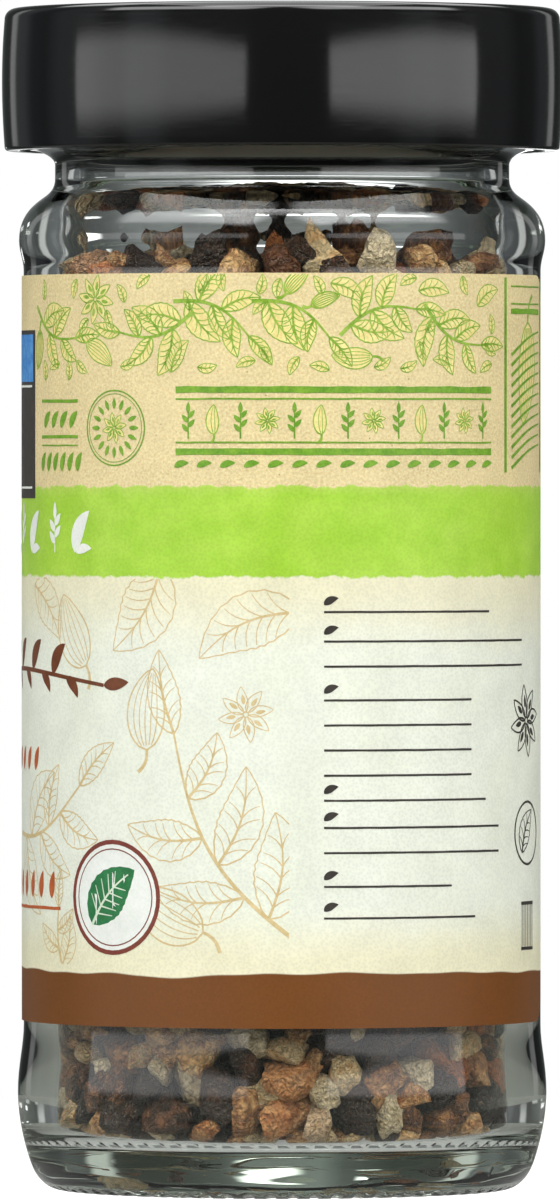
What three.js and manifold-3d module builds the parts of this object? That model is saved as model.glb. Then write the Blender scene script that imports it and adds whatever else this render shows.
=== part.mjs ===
// A spice jar of whole cardamom seeds: a round clear glass jar with a screw neck, a smooth black
// screw cap with its sealing liner, a wrapped paper label, and the seeds that fill the jar.
// Millimetres, +Z up. The origin is the middle of the foot, on the surface the jar stands on.
import * as THREE from "three";
import { mergeVertices } from "three/addons/utils/BufferGeometryUtils.js";
import Module from "manifold-3d";

const wasm = await Module();
wasm.setup();

// Driving dimensions
const totalHeight = 110;
const roundSteps = 60;
const joinTolerance = 0.01;

// Jar, outside, from the foot up
const footInnerRadius = 18.6;
const footOuterRadius = 20.6;
const pushUpHeight = 1.6;
const pushUpFlatRadius = 14.6;
const heelRadius = 23.55;
const heelTopZ = 2.8;
const lowBulgeRadius = 24.65;
const lowBulgeZ = 9.1;
const panelRadius = 24.1;
const panelBottomZ = 15.4;
const panelTopZ = 85.6;
const highBulgeRadius = 24.53;
const highBulgeZ = 88.4;
const shoulderTurnRadius = 22.4;
const shoulderTurnZ = 92.28;
const neckRadius = 21.17;
const neckBottomZ = 94.2;
const neckTopZ = 95.5;
const beadRadius = 23.5;
const beadBottomZ = 96.8;
const beadTopZ = 97.5;
const beadRootRadius = 22.2;
const beadChamfer = 0.3;
const finishRadius = 22.45;
const rimZ = 107.4;
const lipRound = 0.6;

// Jar, inside
const boreRadius = 19;
const boreBottomZ = 93.4;
const cavityRadius = 21.1;
const cavityTopZ = 88.2;
const floorZ = 4.5;
const floorRadius = 18.6;
const floorFilletTopZ = 7;
const floorDomeZ = 5.1;

// Screw thread, one start and one turn, right-handed
const threadPitch = 4.2;
const threadTurns = 1;
const threadStartZ = 101;
const threadRootWidth = 1.9;
const threadCrestWidth = 0.9;
const threadSink = 0.5;
const threadStepsPerTurn = 40;
const threadStartAngle = 1.5;
const threadRunOut = 0.07;
const jarThreadCrestRadius = 23.75;
const capThreadCrestRadius = 22.85;
const capThreadDrop = 1.45;

// Cap and liner
const capSkirtZ = 96.76;
const capEdgeRadius = 25.88;
const capCrownRadius = 26.12;
const capCornerRound = 1;
const capHemRound = 0.35;
const capBoreRadius = 24.1;
const capCeilingZ = 108.4;
const capBoreChamfer = 0.5;
const linerRadius = 23.7;
const linerBottomZ = 107.45;
const linerTopZ = 108.35;

// Label
const labelInnerRadius = 24.14;
const labelThickness = 0.14;
const labelBottomZ = 15.8;
const labelTopZ = 85.1;
const labelEndAngle = -8;
const labelSweep = 324;
const labelCornerRadius = 2.5;
const labelColumns = 66;

// Seeds. Each is a little larger than life, and all are fused where they touch, as one body.
const seedFillTopZ = 89.2;
const seedHeapHeight = 1.2;
const seedClearance = 0.3;
const seedPointSpacing = 2.3;
const seedGapDepth = 1.7;
const seedJitter = 0.5;
const seedFloorShares = [0, 0.45, 0.75, 0.95];
const seedTopShares = [0.96, 0.86, 0.74, 0.6, 0.44, 0.24, 0];
const seedRandomSeed = 4711;

const jarMaterial = new THREE.MeshStandardMaterial({
  color: 0xdfe6e4, roughness: 0.05, metalness: 0, transparent: true, opacity: 0.35,
});
const capMaterial = new THREE.MeshStandardMaterial({ color: 0x151515, roughness: 0.25, metalness: 0 });
const linerMaterial = new THREE.MeshStandardMaterial({ color: 0xe9e6dc, roughness: 0.85, metalness: 0 });
const labelMaterial = new THREE.MeshStandardMaterial({ color: 0xece7cf, roughness: 0.5, metalness: 0 });
const seedMaterial = new THREE.MeshStandardMaterial({ color: 0x4a3424, roughness: 0.8, metalness: 0 });

const radians = THREE.MathUtils.degToRad;

// Points of a cubic curve in the (radius, z) half-plane, without its first point.
function bend(from, pull, push, to, steps) {
  const curve = new THREE.CubicBezierCurve(
    new THREE.Vector2(...from),
    new THREE.Vector2(...pull),
    new THREE.Vector2(...push),
    new THREE.Vector2(...to),
  );
  return curve.getPoints(steps).slice(1).map((p) => [p.x, p.y]);
}

// Points of a quarter round corner, both ends included.
function corner(centreRadius, centreZ, round, fromDegrees, toDegrees, steps) {
  return Array.from({ length: steps + 1 }, (_, i) => {
    const a = radians(fromDegrees + ((toDegrees - fromDegrees) * i) / steps);
    return [centreRadius + round * Math.cos(a), centreZ + round * Math.sin(a)];
  });
}

// A profile of [radius, z] points turned about the Z axis.
function turned(profile, steps = roundSteps) {
  const points = profile.map(([r, z]) => new THREE.Vector2(r, z));
  return new THREE.LatheGeometry(points, steps).rotateX(Math.PI / 2);
}

// A closed three.js geometry as a solid.
function solidOf(geometry) {
  const bare = geometry.clone();
  bare.deleteAttribute("normal");
  bare.deleteAttribute("uv");
  const merged = mergeVertices(bare, 1e-4);
  return new wasm.Manifold(
    new wasm.Mesh({
      numProp: 3,
      vertProperties: new Float32Array(merged.attributes.position.array),
      triVerts: new Uint32Array(merged.index.array),
    }),
  );
}

// A solid as a three.js mesh.
function meshOf(name, solid, material) {
  const data = solid.getMesh();
  const geometry = new THREE.BufferGeometry();
  geometry.setAttribute("position", new THREE.BufferAttribute(new Float32Array(data.vertProperties), 3));
  geometry.setIndex(new THREE.BufferAttribute(new Uint32Array(data.triVerts), 1));
  geometry.computeVertexNormals();
  const mesh = new THREE.Mesh(geometry, material);
  mesh.name = name;
  return mesh;
}

// A thread: a straight bar with a trapezoid section, wrapped round the Z axis as a rising helix.
// Its root lies at rootRadius and its crest at crestRadius, and it fades out at both ends.
function thread(rootRadius, crestRadius, startZ) {
  const steps = Math.round(threadStepsPerTurn * threadTurns);
  const bar = new THREE.BoxGeometry(1, 1, 1, 1, 1, steps);
  const outwards = Math.sign(crestRadius - rootRadius);
  const height = Math.abs(crestRadius - rootRadius);
  const position = bar.attributes.position;
  for (let i = 0; i < position.count; i++) {
    const along = position.getZ(i) + 0.5;
    const atCrest = position.getX(i) > 0;
    const side = Math.sign(position.getY(i));
    const fade = THREE.MathUtils.smoothstep(Math.min(along, 1 - along) / threadRunOut, 0, 1);
    const rise = atCrest ? height * fade - 0.1 * (1 - fade) : -threadSink;
    const slope = (threadRootWidth - threadCrestWidth) / height;
    const width = threadRootWidth - slope * rise;
    const radius = rootRadius + outwards * rise;
    const angle = radians(threadStartAngle) + 2 * Math.PI * threadTurns * along;
    const z = startZ + threadPitch * threadTurns * along + (side * width) / 2;
    position.setXYZ(i, radius * Math.cos(angle), radius * Math.sin(angle), z);
  }
  if (outwards > 0) bar.index.array.reverse();
  return solidOf(bar);
}

const cavityProfile = [
  ...corner(boreRadius + lipRound, rimZ - lipRound, lipRound, 90, 180, 2),
  [boreRadius, boreBottomZ],
  ...bend(
    [boreRadius, boreBottomZ],
    [boreRadius, boreBottomZ - 1.8],
    [cavityRadius, cavityTopZ + 2.4],
    [cavityRadius, cavityTopZ],
    3,
  ),
  [cavityRadius, floorFilletTopZ],
  ...bend(
    [cavityRadius, floorFilletTopZ],
    [cavityRadius, floorFilletTopZ - 1.5],
    [floorRadius + 1.3, floorZ],
    [floorRadius, floorZ],
    3,
  ),
  [0, floorDomeZ],
];

function jarSolid() {
  const heel = [heelRadius, heelTopZ];
  const lowBulge = [lowBulgeRadius, lowBulgeZ];
  const panelBottom = [panelRadius, panelBottomZ];
  const panelTop = [panelRadius, panelTopZ];
  const highBulge = [highBulgeRadius, highBulgeZ];
  const turn = [shoulderTurnRadius, shoulderTurnZ];
  const neckBottom = [neckRadius, neckBottomZ];
  const neckTop = [neckRadius, neckTopZ];
  const outside = [
    [0, pushUpHeight],
    [pushUpFlatRadius, pushUpHeight * 0.6],
    [footInnerRadius, 0],
    [footOuterRadius, 0],
    ...bend([footOuterRadius, 0], [footOuterRadius + 1.4, 0], [heelRadius - 0.55, heelTopZ - 1.7], heel, 3),
    ...bend(heel, [heelRadius + 0.45, heelTopZ + 1.4], [lowBulgeRadius, lowBulgeZ - 2.6], lowBulge, 3),
    ...bend(lowBulge, [lowBulgeRadius, lowBulgeZ + 2.5], [panelRadius, panelBottomZ - 2], panelBottom, 3),
    panelTop,
    ...bend(panelTop, [panelRadius, panelTopZ + 1], [highBulgeRadius, highBulgeZ - 1], highBulge, 3),
    ...bend(highBulge, [highBulgeRadius, highBulgeZ + 2], [turn[0] + 1.15, turn[1] - 0.8], turn, 4),
    ...bend(turn, [turn[0] - 0.74, turn[1] + 0.51], [neckRadius, neckBottomZ - 1], neckBottom, 3),
    neckTop,
    ...bend(
      neckTop,
      [neckRadius, neckTopZ + 0.5],
      [beadRootRadius, beadBottomZ],
      [beadRadius, beadBottomZ],
      3,
    ),
    [beadRadius, beadTopZ - beadChamfer],
    [finishRadius, beadTopZ],
    ...corner(finishRadius - lipRound, rimZ - lipRound, lipRound, 0, 90, 2),
  ];
  return solidOf(turned([...outside, ...cavityProfile]))
    .add(thread(finishRadius, jarThreadCrestRadius, threadStartZ))
    .simplify(joinTolerance);
}

function capSolid() {
  const top = totalHeight;
  const crown = new THREE.QuadraticBezierCurve(
    new THREE.Vector2(capEdgeRadius, capSkirtZ + capHemRound),
    new THREE.Vector2(2 * capCrownRadius - capEdgeRadius, (capSkirtZ + top) / 2),
    new THREE.Vector2(capEdgeRadius, top - capCornerRound),
  );
  const profile = [
    [capBoreRadius + capBoreChamfer, capSkirtZ],
    ...corner(capEdgeRadius - capHemRound, capSkirtZ + capHemRound, capHemRound, -90, 0, 2),
    ...crown.getPoints(5).slice(1).map((p) => [p.x, p.y]),
    ...corner(capEdgeRadius - capCornerRound, top - capCornerRound, capCornerRound, 0, 90, 3).slice(1),
    [0, top],
    [0, capCeilingZ],
    [capBoreRadius, capCeilingZ],
    [capBoreRadius, capSkirtZ + capBoreChamfer],
    [capBoreRadius + capBoreChamfer, capSkirtZ],
  ];
  return solidOf(turned(profile))
    .add(thread(capBoreRadius, capThreadCrestRadius, threadStartZ - capThreadDrop))
    .simplify(joinTolerance);
}

function linerSolid() {
  return solidOf(
    turned([
      [0, linerBottomZ],
      [linerRadius, linerBottomZ],
      [linerRadius, linerTopZ],
      [0, linerTopZ],
    ]),
  );
}

// The label is a thin sheet with rounded corners, wrapped round the jar's panel.
function labelSolid() {
  const sheet = new THREE.BoxGeometry(1, 1, 1, labelColumns, 1, 1);
  const outerRadius = labelInnerRadius + labelThickness;
  const length = radians(labelSweep) * outerRadius;
  const halfHeight = (labelTopZ - labelBottomZ) / 2;
  const position = sheet.attributes.position;
  const cornerColumns = 3;
  for (let i = 0; i < position.count; i++) {
    const column = Math.round((position.getX(i) + 0.5) * labelColumns);
    const fromEnd = Math.min(column, labelColumns - column);
    const inner = labelColumns - 2 * cornerColumns;
    const cornerPart = 1 - Math.cos((fromEnd / cornerColumns) * (Math.PI / 2));
    const reach =
      fromEnd < cornerColumns
        ? labelCornerRadius * cornerPart
        : labelCornerRadius + ((length - 2 * labelCornerRadius) * (fromEnd - cornerColumns)) / inner;
    const short = Math.max(0, labelCornerRadius - reach);
    const half = halfHeight - labelCornerRadius + Math.sqrt(labelCornerRadius ** 2 - short ** 2);
    const along = column * 2 < labelColumns ? reach : length - reach;
    const angle = radians(labelEndAngle - labelSweep) + along / outerRadius;
    const radius = position.getZ(i) > 0 ? outerRadius : labelInnerRadius;
    const z = labelBottomZ + halfHeight + Math.sign(position.getY(i)) * half;
    position.setXYZ(i, radius * Math.cos(angle), radius * Math.sin(angle), z);
  }
  return solidOf(sheet);
}

// Seeded random numbers from 0 to 1.
function randomFrom(seed) {
  let state = seed >>> 0;
  return () => {
    state = (state + 0x6d2b79f5) >>> 0;
    let t = Math.imul(state ^ (state >>> 15), 1 | state);
    t = (t + Math.imul(t ^ (t >>> 7), 61 | t)) ^ t;
    return ((t ^ (t >>> 14)) >>> 0) / 4294967296;
  };
}

// The cavity's radius at a height, from its profile.
function cavityRadiusAt(z) {
  for (let i = 1; i < cavityProfile.length; i++) {
    const [r0, z0] = cavityProfile[i - 1];
    const [r1, z1] = cavityProfile[i];
    if (z <= z0 && z >= z1 && z0 > z1) return r0 + ((r1 - r0) * (z0 - z)) / (z0 - z1);
  }
  return z < floorZ ? 0 : boreRadius;
}

// The seeds as one body: a turned surface whose points lie in a triangular lattice. One point in
// three is the tip of a seed, close to the glass, and the six round it lie in the gaps between seeds.
function seedsSolid() {
  const random = randomFrom(seedRandomSeed);
  const sway = () => (random() - 0.5) * seedJitter;
  const rowZ = (share) => THREE.MathUtils.lerp(floorFilletTopZ, seedFillTopZ, share);
  const wallRows = Math.round((seedFillTopZ - floorFilletTopZ) / seedPointSpacing);
  const rimRadius = cavityRadiusAt(seedFillTopZ);
  const rows = [
    ...seedFloorShares.map((share) => ({
      place: "floor", radius: floorRadius * share, z: floorDomeZ + seedClearance,
    })),
    ...Array.from({ length: wallRows }, (_, i) => ({
      place: "wall", radius: cavityRadiusAt(rowZ(i / wallRows)), z: rowZ(i / wallRows),
    })),
    ...seedTopShares.map((share) => ({
      place: "top", radius: rimRadius * share, z: seedFillTopZ + seedHeapHeight * (1 - share),
    })),
  ];
  const columns = 3 * Math.round((2 * Math.PI * cavityRadius) / seedPointSpacing / 3);
  const surface = turned(rows.map(({ radius, z }) => [radius, z]), columns);
  rows.forEach(({ place, radius, z }, row) => {
    const ring = Array.from({ length: columns }, (_, column) => {
      const isTip = (column + 2 * row) % 3 === 0;
      const depth = seedGapDepth * (isTip ? 0.3 * random() : 0.75 + 0.5 * random());
      const angle = (2 * Math.PI * (column + row / 2 + sway())) / columns;
      if (radius === 0) return [0, 0, z];
      if (place === "wall") {
        const height = z + sway() * seedPointSpacing;
        const reach = cavityRadiusAt(height) - seedClearance - depth;
        return [reach * Math.cos(angle), reach * Math.sin(angle), height];
      }
      const height = place === "floor" ? z + depth / 2 : z - depth;
      return [radius * Math.cos(angle), radius * Math.sin(angle), height];
    });
    [...ring, ring[0]].forEach((point, column) => {
      surface.attributes.position.setXYZ(column * rows.length + row, ...point);
    });
  });
  return solidOf(surface);
}

const group = new THREE.Group();
group.add(meshOf("jar_glass", jarSolid(), jarMaterial));
group.add(meshOf("screw_cap", capSolid(), capMaterial));
group.add(meshOf("cap_liner", linerSolid(), linerMaterial));
group.add(meshOf("label", labelSolid(), labelMaterial));
group.add(meshOf("seeds", seedsSolid(), seedMaterial));

export default group;
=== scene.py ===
import math
import random
from types import SimpleNamespace

import bmesh
import bpy
import numpy as np
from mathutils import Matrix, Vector


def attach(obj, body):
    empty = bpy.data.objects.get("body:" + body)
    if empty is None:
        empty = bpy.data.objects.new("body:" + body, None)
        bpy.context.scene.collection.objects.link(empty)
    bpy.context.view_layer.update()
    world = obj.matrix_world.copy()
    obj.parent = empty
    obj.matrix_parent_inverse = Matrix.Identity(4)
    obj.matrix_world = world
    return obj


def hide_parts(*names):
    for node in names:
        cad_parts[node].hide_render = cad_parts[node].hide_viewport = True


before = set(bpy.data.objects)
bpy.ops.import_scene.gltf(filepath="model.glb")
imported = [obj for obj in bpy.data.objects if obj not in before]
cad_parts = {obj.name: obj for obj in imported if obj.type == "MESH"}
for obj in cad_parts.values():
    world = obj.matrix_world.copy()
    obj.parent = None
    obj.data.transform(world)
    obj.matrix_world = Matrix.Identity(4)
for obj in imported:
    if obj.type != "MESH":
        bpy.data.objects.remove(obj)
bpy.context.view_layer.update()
mm = 0.001
print("frame loaded:", ", ".join(sorted(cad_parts)))


# Small helpers for pieces and their meshes

def deselectAll():
    if bpy.context.object and bpy.context.object.mode != "OBJECT":
        bpy.ops.object.mode_set(mode="OBJECT")
    bpy.ops.object.select_all(action="DESELECT")


def makeActive(piece):
    deselectAll()
    piece.select_set(True)
    bpy.context.view_layer.objects.active = piece


def addObject(name, data):
    holder = bpy.data.objects.new(name, data)
    bpy.context.scene.collection.objects.link(holder)
    return holder


def startEditing(piece):
    makeActive(piece)
    bpy.ops.object.mode_set(mode="EDIT")


def stopEditing():
    bpy.ops.object.mode_set(mode="OBJECT")


def applyPlace(piece):
    makeActive(piece)
    bpy.ops.object.transform_apply(location=True, rotation=True, scale=True)


def smoothUpTo(piece, degrees):
    makeActive(piece)
    bpy.ops.object.shade_smooth_by_angle(angle=math.radians(degrees))


def joinPieces(pieces, name):
    deselectAll()
    for piece in pieces:
        piece.select_set(True)
    bpy.context.view_layer.objects.active = pieces[0]
    bpy.ops.object.join()
    joined = bpy.context.object
    joined.name = name
    return joined


def bisectAll(place, normal, clearOuter=False):
    # cuts the whole mesh in edit mode with one plane, its place in millimetres
    bpy.ops.mesh.select_all(action="SELECT")
    bpy.ops.mesh.bisect(plane_co=(place[0] * mm, place[1] * mm, 0), plane_no=(*normal, 0),
                        clear_outer=clearOuter)


def radiusOf(vertex):
    return math.hypot(vertex.co.x, vertex.co.y) / mm


def angleOf(vertex):
    return math.atan2(vertex.co.y, vertex.co.x)


def stretchOut(vertex, factor):
    # away from the jar's axis
    vertex.co.x *= factor
    vertex.co.y *= factor


def faceOutward():
    bpy.ops.mesh.select_all(action="SELECT")
    bpy.ops.mesh.normals_make_consistent(inside=False)
    stopEditing()


def bendTo(profile, pull, push, end, steps):
    # a cubic curve in the radius and height plane, on from the profile's last point
    start = profile[-1]
    for i in range(1, steps + 1):
        t = i / steps
        shares = ((1 - t) ** 3, 3 * t * (1 - t) ** 2, 3 * t * t * (1 - t), t ** 3)
        profile.append(tuple(sum(s * p[k] for s, p in zip(shares, (start, pull, push, end))) for k in (0, 1)))


def cornerPoints(centre, radius, fromDegrees, toDegrees, steps):
    angles = [math.radians(fromDegrees + (toDegrees - fromDegrees) * i / steps) for i in range(steps + 1)]
    return [(centre[0] + radius * math.cos(a), centre[1] + radius * math.sin(a)) for a in angles]


def spinProfile(name, profile, steps):
    # a profile drawn point by point from one vertex, then spun round the jar's axis
    deselectAll()
    bpy.ops.mesh.primitive_plane_add(size=mm, location=(0, 0, 0))
    piece = bpy.context.object
    piece.name = name
    startEditing(piece)
    bpy.ops.mesh.select_mode(type="VERT")
    bpy.ops.mesh.merge(type="CENTER")
    here = (0, 0)
    for index, point in enumerate(profile):
        step = ((point[0] - here[0]) * mm, 0, (point[1] - here[1]) * mm)
        if index == 0:
            bpy.ops.transform.translate(value=step)
        else:
            bpy.ops.mesh.extrude_region_move(TRANSFORM_OT_translate={"value": step})
        here = point
    bpy.ops.mesh.select_all(action="SELECT")
    bpy.ops.mesh.spin(steps=steps, angle=math.tau, center=(0, 0, 0), axis=(0, 0, 1))
    bpy.ops.mesh.select_all(action="SELECT")
    bpy.ops.mesh.remove_doubles(threshold=0.002 * mm)
    faceOutward()
    return piece


screwThread = {"pitch": 4.2, "startTurn": 1.5 / 360, "rootWidth": 1.9, "crestWidth": 0.9, "runOut": 0.07}
wallTolerance = 0.02  # how near a point lies to the wall that a thread is raised from, in millimetres


def raiseThread(piece, threadShape, outward):
    # lifts the wall into one turn of right-handed thread, fading out at both ends
    thread = SimpleNamespace(**screwThread, **threadShape)
    for vertex in piece.data.vertices:
        radius = radiusOf(vertex)
        if abs(radius - thread.wallRadius) > wallTolerance:
            continue
        turn = (angleOf(vertex) / math.tau - thread.startTurn) % 1
        offset = abs(vertex.co.z / mm - thread.startZ - thread.pitch * turn)
        flank = (thread.rootWidth / 2 - offset) / (thread.rootWidth / 2 - thread.crestWidth / 2)
        fade = min(1, min(turn, 1 - turn) / thread.runOut)
        height = thread.height * max(0, min(1, flank)) * fade * fade * (3 - 2 * fade)
        stretchOut(vertex, (radius + outward * height) / radius)


# Small helpers for shader nodes

def newMaterial(name):
    material = bpy.data.materials.new(name)
    material.use_nodes = True
    material.node_tree.nodes.clear()
    return material, material.node_tree


def addNode(tree, kind, settings=None, **inputs):
    # an input is named as its socket is, with _ for a space, or i0, i1 and so on for its number. Its value is
    # a plain one, a socket, or a node whose first output is meant
    node = tree.nodes.new("ShaderNode" + kind)
    for key, value in (settings or {}).items():
        setattr(node, key, value)
    for key, value in inputs.items():
        numbered = key[0] == "i" and key[1:].isdigit()
        socket = node.inputs[int(key[1:]) if numbered else key.replace("_", " ")]
        if isinstance(value, bpy.types.Node):
            value = value.outputs[0]
        if isinstance(value, bpy.types.NodeSocket):
            tree.links.new(value, socket)
        else:
            socket.default_value = value
    return node


def objectPlace(tree):
    return addNode(tree, "TexCoord").outputs["Object"]


def splitVector(tree, vector):
    return addNode(tree, "SeparateXYZ", Vector=vector).outputs


def noiseAt(tree, place, scale, detail, roughness=0.5):
    node = addNode(tree, "TexNoise", Vector=place, Scale=scale, Detail=detail, Roughness=roughness)
    return node.outputs[0]


def mathNode(tree, operation, first, second=0.0):
    return addNode(tree, "Math", {"operation": operation}, i0=first, i1=second).outputs[0]


def times(tree, first, second):
    return mathNode(tree, "MULTIPLY", first, second)


def mapRange(tree, value, fromMin, fromMax, toMin=0.0, toMax=1.0, smooth=False):
    node = addNode(tree, "MapRange", {"interpolation_type": "SMOOTHSTEP" if smooth else "LINEAR"},
                   i0=value, i1=fromMin, i2=fromMax, i3=toMin, i4=toMax)
    return node.outputs[0]


def mixColour(tree, factor, first, second):
    ends = {}
    for key, value in (("i6", first), ("i7", second)):
        ends[key] = value if isinstance(value, bpy.types.NodeSocket) else (*value, 1)
    return addNode(tree, "Mix", {"data_type": "RGBA"}, i0=factor, **ends).outputs[2]


def colourRamp(tree, value, stops):
    node = addNode(tree, "ValToRGB", Fac=value)
    ramp = node.color_ramp
    while len(ramp.elements) < len(stops):
        ramp.elements.new(0.5)
    for element, (place, *colour) in zip(ramp.elements, stops):
        element.position = place
        element.color = (*colour, 1)
    return node.outputs[0]


def shadeByRay(tree, ray, plain, forRay):
    # forRay is what the named kind of ray meets, plain what every other one does
    path = addNode(tree, "LightPath")
    return addNode(tree, "MixShader", i0=path.outputs[ray], i1=plain, i2=forRay)


def bumpySurface(tree, colour, roughness, height, strength, distance, **more):
    bump = addNode(tree, "Bump", Strength=strength, Distance=distance, Height=height)
    surface = addNode(tree, "BsdfPrincipled", Base_Color=colour, Roughness=roughness, Normal=bump, **more)
    addNode(tree, "OutputMaterial", Surface=surface)


def putOn(piece, material):
    piece.data.materials.clear()
    piece.data.materials.append(material)


def srgb(r, g, b):
    # a colour given as 0 to 255, turned to the linear values that shaders take
    return tuple(((c / 255 + 0.055) / 1.055) ** 2.4 if c > 10 else c / 255 / 12.92 for c in (r, g, b))


# The clear glass jar

glassShape = {  # in millimetres, points as radius and height
    "steps": 264,  # four steps to each scallop of the knurled foot
    "pushUp": 1.6, "footInner": 18.6, "footOuter": 20.6, "footRound": 0.35,
    "knurlEvery": 4, "knurlFrom": -0.6, "knurlTo": 1.7, "knurlTop": 0.5, "knurlPinch": 0.975,
    "knurlLift": 0.25,
    "heel": (23.55, 2.8), "lowBulge": (24.65, 9.1), "panel": 24.1, "panelBottom": 15.4, "panelTop": 85.6,
    "highBulge": (24.53, 88.4), "shoulder": (22.4, 92.28), "neck": 21.17, "neckBottom": 94.2, "neckTop": 95.5,
    "beadRoot": 22.2, "bead": 23.5, "beadBottom": 96.8, "beadTop": 97.5, "finish": 22.45, "rim": 107.4,
    "beadRound": 0.25, "finishRows": 34, "lip": 0.6, "bore": 19.0, "boreBottom": 93.4,
    "cavity": 21.1, "cavityTop": 88.2, "floor": 4.5, "floorRadius": 18.6, "filletTop": 7.0, "floorDome": 5.1,
}
jarThread = {"wallRadius": 22.45, "height": 1.3, "startZ": 101.0}
glass = SimpleNamespace(**glassShape)


def makeJar():
    g = glass
    heel, low, high, turn = g.heel, g.lowBulge, g.highBulge, g.shoulder
    profile = [(0, g.pushUp), (7, g.pushUp * 0.94), (11, g.pushUp * 0.82), (14.6, g.pushUp * 0.6)]
    bendTo(profile, (16.6, 0.75), (17.6, 0.45), (g.footInner, 0.12), 6)
    profile += cornerPoints((g.footInner + g.footRound, g.footRound), g.footRound, 225, 270, 3)
    profile += [(g.footOuter - 0.5, 0), (g.footOuter, 0)]
    bendTo(profile, (g.footOuter + 1.4, 0), (heel[0] - 0.55, heel[1] - 1.7), heel, 12)
    bendTo(profile, (heel[0] + 0.45, heel[1] + 1.4), (low[0], low[1] - 2.6), low, 8)
    bendTo(profile, (low[0], low[1] + 2.5), (g.panel, g.panelBottom - 2), (g.panel, g.panelBottom), 8)
    profile += [(g.panel, g.panelTop)]
    bendTo(profile, (g.panel, g.panelTop + 1), (high[0], high[1] - 1), high, 8)
    bendTo(profile, (high[0], high[1] + 2), (turn[0] + 1.15, turn[1] - 0.8), turn, 12)
    bendTo(profile, (turn[0] - 0.74, turn[1] + 0.51), (g.neck, g.neckBottom - 1), (g.neck, g.neckBottom), 8)
    profile += [(g.neck, g.neckTop)]
    bendTo(profile, (g.neck, g.neckTop + 0.5), (g.beadRoot, g.beadBottom), (g.bead, g.beadBottom), 8)
    profile += cornerPoints((g.bead - g.beadRound, g.beadTop - g.beadRound), g.beadRound, 0, 90, 4)
    wallTop, wallRows = g.rim - g.lip, g.finishRows
    profile += [(g.finish, g.beadTop + (wallTop - g.beadTop) * i / wallRows) for i in range(wallRows)]
    profile += cornerPoints((g.finish - g.lip, wallTop), g.lip, 0, 90, 6)
    profile += cornerPoints((g.bore + g.lip, wallTop), g.lip, 90, 180, 6)
    profile += [(g.bore, g.boreBottom)]
    bendTo(profile, (g.bore, g.boreBottom - 1.8), (g.cavity, g.cavityTop + 2.4), (g.cavity, g.cavityTop), 14)
    profile += [(g.cavity, g.filletTop)]
    bendTo(profile, (g.cavity, g.filletTop - 1.5), (g.floorRadius + 1.3, g.floor),
           (g.floorRadius, g.floor), 10)
    profile += [(12.4, g.floor + 0.33), (6.2, g.floor + 0.53), (0, g.floorDome)]
    jar = spinProfile("jarGlass", profile, g.steps)
    raiseThread(jar, jarThread, 1)
    knurlFoot(jar)
    smoothUpTo(jar, 40)
    return jar


def knurlFoot(jar):
    # every fourth column of the bearing ring is pinched in and up, which leaves a ring of small scallops
    startEditing(jar)
    bpy.ops.mesh.select_all(action="DESELECT")
    mesh = bmesh.from_edit_mesh(jar.data)
    for vertex in mesh.verts:
        column = round(angleOf(vertex) / math.tau * glass.steps)
        inRing = glass.footOuter + glass.knurlFrom < radiusOf(vertex) < glass.footOuter + glass.knurlTo
        vertex.select_set(inRing and vertex.co.z < glass.knurlTop * mm and column % glass.knurlEvery == 0)
    mesh.select_flush_mode()
    bmesh.update_edit_mesh(jar.data)
    pinch = glass.knurlPinch
    bpy.ops.transform.resize(value=(pinch, pinch, 1), center_override=(0, 0, 0))
    bpy.ops.transform.translate(value=(0, 0, glass.knurlLift * mm))
    stopEditing()


def glassMaterial():
    material, tree = newMaterial("clearGlass")
    place = objectPlace(tree)
    bump = addNode(tree, "Bump", Strength=0.1, Distance=0.0001, Height=noiseAt(tree, place, 220.0, 2.0))
    # the thick foot is moulded in flat waves, which break up what shines through it
    level = addNode(tree, "Mapping", Vector=place, Scale=(1, 1, 4))
    foot = mapRange(tree, splitVector(tree, place)[2], 0.0046, 0.0026, 0.0, 1.0, True)
    wavy = addNode(tree, "Bump", Strength=0.3, Distance=0.001, Normal=bump,
                   Height=times(tree, noiseAt(tree, level, 90.0, 1.0), foot))
    clearGlass = addNode(tree, "BsdfPrincipled", Base_Color=(0.99, 1.0, 0.995, 1), Roughness=0.0,
                         IOR=1.5, Transmission_Weight=1.0, Normal=wavy)
    clear = addNode(tree, "BsdfTransparent", Color=(0.985, 0.995, 0.99, 1))
    tint = addNode(tree, "VolumeAbsorption", Color=(0.7, 0.84, 0.66, 1), Density=20.0)
    addNode(tree, "OutputMaterial", Surface=shadeByRay(tree, "Is Shadow Ray", clearGlass, clear), Volume=tint)
    return material


jarGlass = makeJar()
putOn(jarGlass, glassMaterial())
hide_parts("jar_glass")
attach(jarGlass, "jar")
print("jar glass:", len(jarGlass.data.polygons), "faces")


# The black screw cap and its liner

capShape = {
    "steps": 256, "skirt": 96.76, "edge": 25.88, "crown": 26.12, "top": 110.0, "topRound": 1.0, "hem": 0.35,
    "bore": 24.1, "ceiling": 108.4, "chamfer": 0.5, "wallRows": 38,
}
capThread = {"wallRadius": 24.1, "height": 1.25, "startZ": 99.55}


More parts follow.
